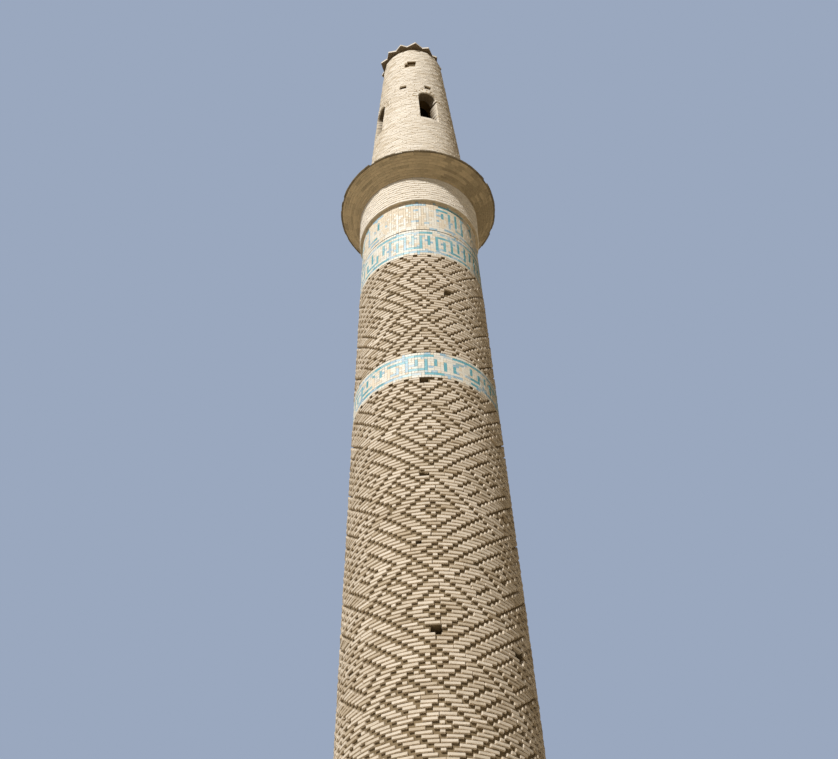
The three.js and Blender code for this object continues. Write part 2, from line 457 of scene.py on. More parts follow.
def add_node(tree, kind, inputs=(), out=0, stops=(), **settings):
    """Adds a node and returns one of its outputs. Its settings come first, then its ramp's stops.
    Inputs come by name or place, or in their order, and each is given a value or a link."""
    node = tree.nodes.new(kind)
    for name, value in settings.items():
        setattr(node, name, value)
    for number, (spot, colour_there) in enumerate(stops):
        elements = node.color_ramp.elements
        element = elements[number] if number < len(elements) else elements.new(1.0)
        element.position, element.color = spot, colour_there
    for socket, given in inputs.items() if isinstance(inputs, dict) else enumerate(inputs):
        if isinstance(given, bpy.types.NodeSocket):
            tree.links.new(given, node.inputs[socket])
        else:
            node.inputs[socket].default_value = given
    return node.outputs[out] if node.outputs else None


def bricklaying_tree():
    """A tree that sets a brick on each place, turned and sized as the place says, and wears it."""
    name = "lay_bricks"
    if name in bpy.data.node_groups:
        return bpy.data.node_groups[name]
    tree = bpy.data.node_groups.new(name, "GeometryNodeTree")
    for label, kind, value in (
            ("Geometry", "Geometry", None), ("Brick", "Object", None), ("Finish", "Material", None),
            ("Turn", "Float", 0.012), ("Wear", "Float", 0.003), ("Wear Grain", "Float", 0.05),
            ("Seed", "Int", 1)):
        socket = tree.interface.new_socket(label, in_out="INPUT", socket_type="NodeSocket" + kind)
        if value is not None:
            socket.default_value = value
    tree.interface.new_socket("Geometry", in_out="OUTPUT", socket_type="NodeSocketGeometry")

    add = partial(add_node, tree)
    given = add("NodeGroupInput").node.outputs
    brick = add("GeometryNodeObjectInfo", {"Object": given["Brick"]}, "Geometry")
    turn, size = (add("GeometryNodeInputNamedAttribute", {"Name": label}, data_type="FLOAT_VECTOR")
                  for label in ("turn", "size"))
    chance = add("FunctionNodeRandomValue", {0: (-1, -1, -1), 1: (1, 1, 1), "Seed": given["Seed"]},
                 data_type="FLOAT_VECTOR")
    sway = add("ShaderNodeVectorMath", {0: chance, "Scale": given["Turn"]}, operation="SCALE")
    turning = add("ShaderNodeVectorMath", (turn, sway), operation="ADD")
    rotation = add("FunctionNodeEulerToRotation", (turning,))
    laid = add("GeometryNodeInstanceOnPoints", {"Points": given["Geometry"], "Instance": brick,
                                                "Rotation": rotation, "Scale": size})
    real = add("GeometryNodeRealizeInstances", (laid,))
    # Wear shifts each corner by as much as its distance, in lumps of its grain
    grain = add("ShaderNodeMath", (1.0, given["Wear Grain"]), operation="DIVIDE")
    where = add("GeometryNodeInputPosition")
    noise = add("ShaderNodeTexNoise", {"Vector": where, "Scale": grain, "Detail": 2.0}, "Color")
    centred = add("ShaderNodeVectorMath", (noise, (0.5, 0.5, 0.5)), operation="SUBTRACT")
    double = add("ShaderNodeMath", (given["Wear"], 2.0), operation="MULTIPLY")
    shift = add("ShaderNodeVectorMath", {0: centred, "Scale": double}, operation="SCALE")
    worn = add("GeometryNodeSetPosition", {"Geometry": real, "Offset": shift})
    done = add("GeometryNodeSetMaterial", {"Geometry": worn, "Material": given["Finish"]})
    add("NodeGroupOutput", {"Geometry": done})
    return tree


def brick_shape(name="brick_shape", side=0.03, edge=0.09, round_over=0.12):
    """A brick one unit long, deep and high, with its outer edges worn off. It faces -Y."""
    if name in bpy.data.objects:
        return bpy.data.objects[name]

    def build(work):
        def rectangle(x, y, z):
            return [work.verts.new((across * x, y, up * z))
                    for across, up in ((-1, -1), (1, -1), (1, 1), (-1, 1))]
        back = rectangle(0.5, 0.5, 0.5)
        rim = rectangle(0.5, -0.5 + round_over, 0.5)
        front = rectangle(0.5 - side, -0.5, 0.5 - edge)
        work.faces.new(back)
        work.faces.new(front)
        for a, b in ((back, rim), (rim, front)):
            for i in range(4):
                j = (i + 1) % 4
                work.faces.new((a[i], a[j], b[j], b[i]))
    return new_object(name, mesh_from(name, build))


class Bricks:
    """Places of the bricks of one piece."""

    def __init__(self, seed, tones=0.2, usual=0.55, bleach=0.0):
        self.chance = random.Random(seed)
        self.tones = tones
        self.usual = usual
        self.bleach = bleach            # painted light and shade: how much paler the bricks are painted towards the front, and darker towards the sides
        self.places = []

    def add(self, bearing, level, radius, size, roll=0.0, tilt=0.0, tone=None):
        """Adds a brick of (length, depth, height) whose face has its middle at a radius."""
        way = towards(bearing) * math.cos(tilt) + Vector((0, 0, math.sin(tilt)))
        middle = point(bearing, radius, level) - way * (size[1] / 2)
        self.put(middle, (-tilt, roll, bearing), size, tone)

    def put(self, middle, turn, size, tone=None):
        """Adds a brick at a point."""
        if tone is None:
            # Painted light and shade: the tone falls from bearing 0 towards the sides
            usual = self.usual - self.bleach * min(0.45, 1 - math.cos(turn[2]))
            tone = min(1.0, max(0.0, self.chance.gauss(usual, self.tones)))
        self.places.append((middle, turn, size, tone))

    def piece(self, name, material, slot=None, nodes=(), shape=None, turn=0.012, wear=0.003,
              grain=0.05, seed=1):
        """Lays the bricks with Geometry Nodes and makes them one piece."""
        mesh = bpy.data.meshes.new(name + "_places")
        mesh.from_pydata([place[0] for place in self.places], [], [])
        for label, kind, field, column in (("turn", "FLOAT_VECTOR", "vector", 1),
                                           ("size", "FLOAT_VECTOR", "vector", 2),
                                           ("tone", "FLOAT", "value", 3)):
            values = mesh.attributes.new(label, kind, "POINT")
            flat = [place[column] for place in self.places]
            if field == "vector":
                flat = [number for vector in flat for number in vector]
            values.data.foreach_set(field, flat)
        holder = new_object(name + "_places", mesh)
        tree = bricklaying_tree()
        modifier = holder.modifiers.new("lay_bricks", "NODES")
        modifier.node_group = tree
        chosen = {"Brick": shape or brick_shape(), "Finish": material, "Turn": turn, "Wear": wear,
                  "Wear Grain": grain, "Seed": seed}
        for item in tree.interface.items_tree:
            if item.in_out == "INPUT" and item.name in chosen:
                modifier[item.identifier] = chosen[item.name]
        made = plain_mesh(holder)
        bpy.data.objects.remove(holder)
        for label in ("turn", "size"):
            if label in made.attributes:
                made.attributes.remove(made.attributes[label])
        place(name, made, None, slot, nodes)


# Laying rules


def clear_spans(start, end, level, radius, openings, grown=0.0):
    """The parts of a span of wall that no opening takes, each with whether its ends meet one."""
    spans = [(start, end, False, False)]
    for opening in openings:
        half = opening.half_at(level, grown)
        if not half:
            continue
        reach = math.asin(min(0.99, half / radius))
        kept = []
        for first, last, meets_first, meets_last in spans:
            middle = first + turned(opening.bearing - first)
            for centre in (middle, middle + math.tau):
                if centre - reach < last and centre + reach > first:
                    break
            else:
                kept.append((first, last, meets_first, meets_last))
                continue
            if centre - reach > first:
                kept.append((first, centre - reach, meets_first, True))
            if centre + reach < last:
                kept.append((centre + reach, last, True, meets_last))
        spans = kept
    return spans


def shaft_lozenges():
    """Every lozenge of the raised bond. They were laid by eye, so each lies a little out of place."""
    chance = random.Random(BOND_SEED)
    courses = LOWER_COURSES + MIDDLE_COURSES + BAND_1_COURSES + UPPER_COURSES
    lozenges = []
    for rise in range(-1, courses // REPEAT + 2):
        for lap in range(UNITS // REPEAT):
            for unit, course, reach, half in LOZENGES:
                slips = [chance.randint(-BOND_SLIP, BOND_SLIP) for _ in range(3)]
                lozenges.append((unit + lap * REPEAT + slips[0], course + rise * REPEAT + slips[1],
                                 reach + slips[2], half))
    return lozenges


def bond_gap(unit, course, lozenges):
    """Whether the raised bond has a gap at a unit of a course."""
    aside = abs((unit + REPEAT // 2) % REPEAT - REPEAT // 2)
    line = aside - course
    for centre, level, reach, half in lozenges:
        across, up = abs((unit - centre + UNITS // 2) % UNITS - UNITS // 2), course - level
        if across + abs(up) <= reach and up * half >= 0:
            line = aside + course
    return line % LINE_SPACING == LINE_SPACING // 2


def bond_runs(course, lozenges):
    """The solid runs of a course in the raised bond, as (start, end) bearings."""
    near = [lozenge for lozenge in lozenges if abs(course - lozenge[1]) <= lozenge[2]]
    gaps = [unit for unit in range(UNITS) if bond_gap(unit, course, near)]
    unit, ease = math.tau / UNITS, 0.5 + GAP_EASE
    return [(BOND_BEARING + (here + ease) * unit, BOND_BEARING + (after - ease) * unit)
            for here, after in zip(gaps, gaps[1:] + [gaps[0] + UNITS]) if after - here > 1]


def lay_raised_course(bricks, course, level, radius, openings, lozenges):
    """One course of the raised bond."""
    size, chance, joint = sizes(), bricks.chance, sizes().raised_joint
    for start, end in bond_runs(course, lozenges):
        for first, last, _, _ in clear_spans(start, end, level, radius, openings):
            run = (last - first) * radius
            if run < size.shortest:
                continue
            parts = [min(run, size.stretcher)]
            if run > size.closer_above:
                count = max(2, math.ceil(run / (size.stretcher + joint)))
                closer = run - (size.stretcher + joint) * (count - 1)
                parts = [size.stretcher] * (count - 1) + [max(closer, size.shortest)]
                if chance.random() < 0.5:
                    parts.reverse()
                at = first
            else:
                at = first + (run - parts[0]) / 2 / radius
            for part in parts:
                # One brick in thirty is short, and one in seventy is set back
                luck = chance.random()
                real = part * (chance.uniform(0.78, 0.9) if luck < 0.03 else chance.uniform(0.94, 1.0))
                face = math.sqrt(radius ** 2 - (real / 2) ** 2) - FACE_INSET
                face -= abs(chance.gauss(0, 0.005)) + (0.012 if luck > 0.985 else 0)
                height = size.face_height * chance.uniform(0.9, 1.1)
                slide = chance.uniform(-0.5, 0.5) * (part - real)
                bricks.add(at + (part / 2 + slide) / radius, level + chance.gauss(0, 0.0025), face,
                           (real, size.brick_depth, height))
                at += (part + joint) / radius


def lay_plain_course(bricks, course, level, radius, height, openings=(), brick=None, joint=None,
                     scatter=0.0025):
    """One course in running bond, cut back at openings, where the bricks go deep into the wall."""
    size, chance = sizes(), bricks.chance
    brick = brick or size.plain_brick
    joint = size.plain_joint if joint is None else joint
    count = max(3, round(math.tau * radius / (brick + joint)))
    step = math.tau / count
    shift = (course % 2) * 0.5 + 0.13 * (course % 3)
    for i in range(count):
        start = (i + shift) * step - math.pi
        for first, last, meets_first, meets_last in clear_spans(
                start, start + step, level, radius, openings, size.voussoir + CUT_MARGIN):
            run = (last - first) * radius - joint * chance.uniform(0.8, 1.3)
            if not (meets_first or meets_last) and run < 0.02:
                continue
            # A sliver closes the course beside an opening, flush with it
            run = max(run, 0.006)
            middle = (first + last) / 2
            if meets_first != meets_last:
                middle = last - run / 2 / radius if meets_last else first + run / 2 / radius
            face = math.sqrt(radius ** 2 - (run / 2) ** 2) - FACE_INSET - abs(chance.gauss(0, scatter))
            deep = size.reveal if meets_first or meets_last else size.plain_depth
            bricks.add(middle, level + chance.gauss(0, 0.001), face,
                       (run, deep, height * chance.uniform(0.97, 1.03)))


def lay_arch(bricks, opening, face, thick=0.056, joint=0.008):
    """The bricks that stand around an arch, on end."""
    size, chance = sizes(), bricks.chance
    offset, radius = opening.arch()
    reach = radius + size.voussoir / 2
    apex = math.acos(offset / reach)
    count = max(4, round(radius * apex / (thick + joint)))
    wide = min(thick, radius * apex / count - joint * 0.5)
    for i in range(count):
        angle = apex * (i + 0.5) / count
        across = reach * math.cos(angle) - offset
        level = opening.top + reach * math.sin(angle)
        wall = face(level)
        for side in (-1, 1):
            bearing = opening.bearing + side * math.asin(across / wall)
            bricks.add(bearing, level, wall - FACE_INSET - abs(chance.gauss(0, 0.001)),
                       (size.voussoir * chance.uniform(0.95, 1.0), size.reveal, wide),
                       roll=-side * angle)


# Materials


def between(first, second, share=0.5):
    """A colour between two."""
    return tuple(a + (b - a) * share for a, b in zip(first, second))


def shaded(shade, factor):
    """A colour made darker or lighter."""
    return tuple(min(1.0, value * factor) for value in shade[:3]) + (1.0,)


def new_material(name):
    """A material, and the function that adds its nodes, or None for that where it exists."""
    material = bpy.data.materials.get(name)
    if material:
        return material, None
    material = bpy.data.materials.new(name)
    material.use_nodes = True
    material.node_tree.nodes.clear()
    return material, partial(add_node, material.node_tree)


def deep_painted_shade(add, where):
    """How much painted shade the turret gets: 0 on its outer face, and 1 inside it and under its
    arches, where shade falls.
    """
    level = add("ShaderNodeSeparateXYZ", (where,), "Z")
    plan = add("ShaderNodeVectorMath", (where, (1, 1, 0)), operation="MULTIPLY")
    radius = add("ShaderNodeVectorMath", (plan,), "Value", operation="LENGTH")
    face = add("ShaderNodeMapRange", (level, DECK_LEVEL, TURRET_TOP,
                                      turret_face(DECK_LEVEL), turret_face(TURRET_TOP)))
    depth = add("ShaderNodeMath", (face, radius), operation="SUBTRACT")
    slope = add("ShaderNodeSeparateXYZ", (add("ShaderNodeNewGeometry", out="Normal"),), "Z")
    # Painted shade on faces that point down behind the wall's face, and on everything deep inside
    down, behind, inside = (add("ShaderNodeMapRange", given) for given in (
        (slope, -0.05, -0.5), (depth, 0.025, 0.05), (depth, 0.03, 0.2)))
    under = add("ShaderNodeMath", (down, behind), operation="MULTIPLY")
    return add("ShaderNodeMath", (under, inside), operation="MAXIMUM")


def grained(add, body, share, source, stops):
    """A body colour that takes a share of its colour from the grains or patches of a source."""
    grains = add("ShaderNodeValToRGB", (source,), stops=stops)
    return add("ShaderNodeMix", {0: share, 6: body, 7: grains}, 2, data_type="RGBA")


def stained(add, body, source, span, share, stain):
    """A body colour with a stain over it where a source lies high in a span of its values."""
    spot = add("ShaderNodeMix", {0: share, 6: body, 7: stain}, 2, data_type="RGBA")
    where = add("ShaderNodeMapRange", (source, *span))
    return add("ShaderNodeMix", {0: where, 6: body, 7: spot}, 2, data_type="RGBA")


def surfaced(add, body, roughness, height, relief, strength=1.0, specular=0.5):
    """The shader of a body colour, with small relief from a height, and the material's output."""
    bump = add("ShaderNodeBump", {"Height": height, "Distance": relief, "Strength": strength})
    shader = add("ShaderNodeBsdfPrincipled", {"Base Color": body, "Roughness": roughness,
                                              "Specular IOR Level": specular, "Normal": bump})
    add("ShaderNodeOutputMaterial", {"Surface": shader})


def brick_finish(name, light, dark, with_painted_shade=False):
    """Hand-made brick: each brick its own tone, sandy, with darker fired patches and streaks, and
    painted shade where its faces are marked as undersides.
    """
    material, add = new_material(name)
    if add is None:
        return material
    where = add("ShaderNodeTexCoord", out="Object")
    tone = add("ShaderNodeAttribute", out="Fac", attribute_name="tone")
    body = add("ShaderNodeValToRGB", (tone,), stops=(
        (0.05, dark), (0.45, between(dark, light, 0.62)), (0.95, light)))
    # Fired mottling, about 40 mm across
    mottle = add("ShaderNodeTexNoise", {"Vector": where, "Scale": 1 / 0.04, "Detail": 3,
                                        "Roughness": 0.55})
    body = grained(add, body, 0.16, add("ShaderNodeMapRange", (mottle, 0.3, 0.7)),
                   ((0.2, shaded(dark, 0.8)), (0.8, light)))
    # Long weather stains, about 1 m
    stain = add("ShaderNodeTexNoise", {"Vector": where, "Scale": 1 / 0.9, "Detail": 4,
                                       "Roughness": 0.55})
    body = stained(add, body, stain, (0.42, 0.72), 0.13, shaded(dark, 0.62))
    # Painted shade: undersides, and the inside of the turret, are painted dark where shade falls
    painted_shade_masks = [add("ShaderNodeAttribute", out="Fac", attribute_name="under")]
    if with_painted_shade:
        painted_shade_masks.append(deep_painted_shade(add, where))
    for share in painted_shade_masks:
        body = add("ShaderNodeMix", {0: share, 6: body, 7: tint("soot")}, 2, data_type="RGBA")
    # Grit of 2 mm is drawn 5 mm across, so that it shows
    grit = add("ShaderNodeTexNoise", {"Vector": where, "Scale": 1 / 0.005, "Detail": 2,
                                      "Roughness": 0.7})
    body = grained(add, body, 0.1, grit, ((0.35, shaded(dark, 0.6)), (0.6, light)))
    rough = add("ShaderNodeMapRange", (grit, 0.3, 0.7, 0.82, 0.97))
    surfaced(add, body, rough, grit, 0.0025, 0.7, 0.25)
    return material


def mortar_finish(name, lime, lump=0.012, relief=0.004, with_painted_shade=False):
    """Lime and clay mortar, raked back by hand: lumpy, dusty and quite matt."""
    material, add = new_material(name)
    if add is None:
        return material
    where = add("ShaderNodeTexCoord", out="Object")
    # Patches of about 110 mm from one mix to the next
    patch = add("ShaderNodeTexNoise", {"Vector": where, "Scale": 1 / 0.11, "Detail": 3,
                                       "Roughness": 0.55})
    body = add("ShaderNodeValToRGB", (add("ShaderNodeMapRange", (patch, 0.3, 0.7)),),
               stops=((0.1, shaded(lime, 0.78)), (0.9, shaded(lime, 1.16))))
    coarse = add("ShaderNodeTexNoise", {"Vector": where, "Scale": 1 / lump, "Detail": 4,
                                        "Roughness": 0.65})
    body = grained(add, body, 0.25, coarse, ((0.35, shaded(lime, 0.6)), (0.65, shaded(lime, 1.25))))
    # Painted shade inside the turret and under its arches
    if with_painted_shade:
        body = add("ShaderNodeMix", {0: deep_painted_shade(add, where), 6: body, 7: tint("soot")}, 2,
                   data_type="RGBA")
    rough = add("ShaderNodeMapRange", (coarse, 0.3, 0.7, 0.88, 1.0))
    surfaced(add, body, rough, coarse, relief, specular=0.15)
    return material


def glaze_finish(name, glaze, faded, worn, gloss):
    """Alkaline glaze on fired clay: wet-looking where whole, chalky where it has worn off."""
    material, add = new_material(name)
    if add is None:
        return material
    where = add("ShaderNodeTexCoord", out="Object")
    tone = add("ShaderNodeAttribute", out="Fac", attribute_name="tone")
    body = add("ShaderNodeValToRGB", (tone,), stops=(
        (0.0, shaded(glaze, 0.72)), (0.5, glaze), (1.0, between(glaze, faded, 0.45))))
    # Glaze pools darker in lumps of 20 mm, and has worn off in patches of 35 mm
    pool = add("ShaderNodeTexNoise", {"Vector": where, "Scale": 1 / 0.02, "Detail": 2,
                                      "Roughness": 0.55})
    body = stained(add, body, pool, (0.3, 0.7), 0.2, shaded(glaze, 0.6))
    wear = add("ShaderNodeTexNoise", {"Vector": where, "Scale": 1 / 0.035, "Detail": 5,
                                      "Roughness": 0.7})
    wear = add("ShaderNodeMapRange", (wear, 1.0 - worn, 1.06 - worn))
    body = add("ShaderNodeMix", {0: wear, 6: body, 7: faded}, 2, data_type="RGBA")
    rough = add("ShaderNodeMapRange", (wear, 0.0, 1.0, gloss, 0.85))
    skin = add("ShaderNodeMapRange", (wear, 0.0, 1.0, 1.0, 0.0))
    surfaced(add, body, rough, skin, 0.0012, 0.8)
    return material


def raised_brick():
    """Buff fired brick: dry, sandy and sunlit on its faces."""
    return brick_finish("buff_fired_brick", tint("brick_light"), tint("brick_dark"))


def pale_brick():
    """Sun-bleached brick: nearly white where the wind has scoured it."""
    return brick_finish("bleached_fired_brick", tint("pale_light"), tint("pale_dark"))


def turret_brick():
    """The same bleached brick, with painted shade on its deep faces around the windows and inside the
    turret.
    """
    return brick_finish("sooted_bleached_brick", tint("pale_light"), tint("pale_dark"), with_painted_shade=True)


def gallery_brick():
    """Brick under the gallery, rubbed with clay wash: duller and browner than the walls."""
    wash = tint("clay_wash")
    return brick_finish("clay_washed_brick", shaded(wash, 1.12), shaded(wash, 0.5))


def edge_brick():
    """The gallery's outermost bricks, coloured much darker than the rest, nearly brown."""
    wash = tint("clay_wash")
    return brick_finish("rain_stained_brick", shaded(wash, 0.5), shaded(wash, 0.2))


def raked_mortar():
    """Raked mortar and rough backing brick: dull brown between the raised bricks."""
    return mortar_finish("raked_clay_mortar", tint("mortar"))


def pointing():
    """Lime pointing: pale and slightly hollow between plain courses."""
    return mortar_finish("lime_pointing", tint("pale_mortar"), 0.008, 0.002)


def turret_pointing():
    """The same pointing, with painted shade inside the turret."""
    return mortar_finish("sooted_lime_pointing", tint("pale_mortar"), 0.008, 0.002, True)


# Operators


class MINARET_OT_foot(bpy.types.Operator):
    """Lays the plain foot of the tower around its doorway"""

    bl_idname = "minaret.lay_foot"
    bl_label = "Lay the foot"

    def execute(self, context):
        size = sizes()
        door = Opening(180, bottom=-0.1, top=1.5, width=0.8, rise=0.43, through=True)
        relief = mortar_inset(shaft_face(BASE_TOP))
        nodes = ("base_wall_front", "base_wall_right", "base_wall_left",
                 "door_jamb_right", "door_jamb_left", "door_head")
        profile = [(well_face(0), 0.0), (shaft_face(0) - relief, 0.0),
                   (shaft_face(BASE_TOP) - relief, BASE_TOP), (well_face(BASE_TOP), BASE_TOP)]
        # An odd number of facets keeps their corners off the doorway's apex
        core = ring_mesh("foot_mortar", profile, CORE_FACETS + 1)
        place("foot_mortar", cut("foot_mortar", core, [door], shaft_face), raked_mortar(), nodes=nodes)
        bricks = Bricks(11)
        pitch = BASE_TOP / BASE_COURSES
        for course in range(BASE_COURSES):
            level = (course + 0.5) * pitch
            lay_plain_course(bricks, course, level, shaft_face(level), pitch - size.plain_joint, [door])
        lay_arch(bricks, door, shaft_face)
        bricks.piece("foot_bricks", raised_brick(), "patterned_brick", nodes)
        return {"FINISHED"}


class MINARET_OT_shaft(bpy.types.Operator):
    """Lays the tapering shaft in its raised lozenge bond"""

    bl_idname = "minaret.lay_shaft"
    bl_label = "Lay the shaft"

    def execute(self, context):
        size = sizes()
        openings, lozenges = shaft_openings(), shaft_lozenges()
        first_upper = LOWER_COURSES + MIDDLE_COURSES + BAND_1_COURSES
        parts = (("lower", BASE_TOP, LOWER_TOP, LOWER_COURSES, 0),
                 ("middle", LOWER_TOP, BAND_1_BOTTOM, MIDDLE_COURSES, LOWER_COURSES),
                 ("upper", BAND_1_TOP, BAND_2_BOTTOM, UPPER_COURSES, first_upper))
        for name, bottom, top, courses, first in parts:
            nodes = tuple(f"{name}_shaft_{side}" for side in SIDES)
            holes = [hole for hole in openings if bottom < hole.bottom < top]
            profile = self.core(name, bottom, top)
            core = cut(f"{name}_shaft_mortar", ring_mesh("core", profile), holes, shaft_face)
            place(f"{name}_shaft_mortar", core, raked_mortar(), nodes=nodes)
            bricks = Bricks(first + 21, tones=0.22, usual=0.6, bleach=0.6)
            pitch = (top - bottom) / courses
            for course in range(courses):
                level = bottom + (course + 0.5) * pitch
                lay_raised_course(bricks, first + course, level, shaft_face(level), holes, lozenges)
            bricks.piece(f"{name}_shaft_bricks", raised_brick(), "patterned_brick", nodes, turn=0.02,
                         wear=0.0045, seed=first + 2)
        return {"FINISHED"}

    def core(self, name, bottom, top):
        """Profile of the wall behind the bricks. The upper part also carries the glazed bands."""
        size = sizes()
        gap = size.gap_depth
        if name != "upper":
            return [(well_face(bottom), bottom), (shaft_face(bottom) - gap, bottom),
                    (shaft_face(top) - gap, top), (well_face(top), top)]
        bed = size.tile_inset + size.tile_relief
        lower, upper = BAND_1_BOTTOM, BAND_2_TOP
        split = shaft_face(BAND_2_SPLIT)
        groove = [(split - depth, BAND_2_SPLIT + side * GROOVE_HALF)
                  for depth, side in ((bed, -1), (GROOVE_DEPTH, -1), (GROOVE_DEPTH, 1), (bed, 1))]
        return [(well_face(lower), lower), (shaft_face(lower) - bed, lower),
                (shaft_face(bottom) - bed, bottom), (shaft_face(bottom) - gap, bottom),
                (shaft_face(top) - gap, top), (shaft_face(top) - bed, top), *groove,
                (shaft_face(upper) - bed, upper), (well_face(upper), upper)]


class MINARET_OT_bands(bpy.types.Operator):
    """Sets the glazed bands, a geometric key fret of glazed strips on a cream ground"""

    bl_idname = "minaret.set_glazed_bands"
    bl_label = "Set the glazed bands"

    def execute(self, context):
        cream, ochre = tint("cream"), tint("ochre")
        finishes = {
            "turquoise": glaze_finish("turquoise_glaze", tint("turquoise"), cream, 0.4, 0.5),
            "blue": glaze_finish("weathered_blue_glaze", tint("light_blue"), cream, 0.45, 0.55),
            "cream": glaze_finish("cream_glaze", cream, between(cream, ochre, 0.6), 0.45, 0.6),
            "ochre": brick_finish("ochre_band_brick", shaded(ochre, 1.06), shaded(ochre, 0.84)),
        }
        # Each with its number of courses, the share of its glaze that is lost, and its seed
        split_low, split_high = BAND_2_SPLIT - GROOVE_HALF, BAND_2_SPLIT + GROOVE_HALF
        rows = (("lower_glazed_band", BAND_1_BOTTOM, BAND_1_TOP, 11, 0.12, 31),
                ("upper_glazed_band_lower_row", BAND_2_BOTTOM, split_low, 13, 0.06, 32),
                ("upper_glazed_band_upper_row", split_high, BAND_2_TOP, 15, 0.92, 33))
        for name, bottom, top, count, lost, seed in rows:
            self.set_row(name, bottom, top, count, lost, seed, finishes)
        return {"FINISHED"}

    def fret(self, column, row, rows):
        """What kind of strip the fret has in a cell, if any."""
        spot, low, high = column % sizes().fret_period, 3, rows - 4
        if row in (1, rows - 2):
            return "border"
        if row < low or row > high:
            return ""
        # Uprights every three columns: full ones, and short ones that hang or stand between them
        if (spot in (0, 6, 12) or (spot in (3, 15) and row >= low + 2)
                or (spot == 9 and row <= high - 2)):
            return "upright"
        if (row == high and 6 < spot < 12) or (row == low and spot > 12):
            return "flat"
        return ""

    def set_row(self, name, bottom, top, rows, lost, seed, finishes):
        """One row of glazed strips between two levels."""
        size = sizes()
        columns = size.fret_period * size.fret_repeats
        lots = {kind: Bricks(seed * 10 + i) for i, kind in enumerate(finishes)}
        chance = random.Random(seed)
        step, pitch = math.tau / columns, (top - bottom) / rows
        used = set()
        for row in range(rows):
            column = 0
            while column < columns:
                if (column, row) in used:
                    column += 1
                    continue
                kind = self.fret(column, row, rows)
                wide = tall = 1
                limit = chance.choice((2, 3, 3) if kind else (1, 1, 2))
                if kind == "upright":
                    while tall < 4 and self.fret(column, row + tall, rows) == "upright":
                        tall += 1
                else:
                    while (wide < limit and column + wide < columns
                           and (column + wide, row) not in used
                           and self.fret(column + wide, row, rows) == kind):
                        wide += 1
                for i in range(wide):
                    for j in range(tall):
                        used.add((column + i, row + j))
                bearing = (column + wide / 2) * step
                level = bottom + (row + tall / 2) * pitch
                self.set_tile(lots, chance, kind, bearing, level, wide * step, tall * pitch, lost)
                column += wide
        shape = brick_shape("tile_shape", 0.02, 0.03, 0.08)
        for kind, lot in lots.items():
            if lot.places:
                lot.piece(f"{name}_{kind}", finishes[kind], "glazed_tile", (name,), shape=shape,
                          turn=0.004, wear=0.0012, seed=seed)

    def set_tile(self, lots, chance, kind, bearing, level, span, height, lost):
        """One strip, in glaze where it has one left."""
        size = sizes()
        radius = shaft_face(level) - size.tile_inset
        spot = math.degrees(bearing) % 120
        plain, blue = 0.28, 0.1
        if lost > 0.5:
            # The upper row keeps its colour in a few places only, and is bare brick towards its top
            plain = 0.3 + 0.58 * (level - BAND_2_SPLIT) / (BAND_2_TOP - BAND_2_SPLIT)
            blue = 0.06
            lost = 0.25 if 20 < spot < 48 else 0.6 if 56 < spot < 84 else lost
        gone = chance.random() < lost
        luck = chance.random()
        if kind and not gone:
            lot = "blue" if luck < (0.6 if kind == "border" or lost > 0.5 else 0.12) else "turquoise"
        else:
            lot = "ochre" if luck < plain else "cream" if luck < 1 - blue else "blue"
        width = span * radius - size.tile_joint
        face = math.sqrt(radius ** 2 - (width / 2) ** 2) - abs(chance.gauss(0, 0.0008))
        lots[lot].add(bearing, level, face, (width, 0.02, height - size.tile_joint))


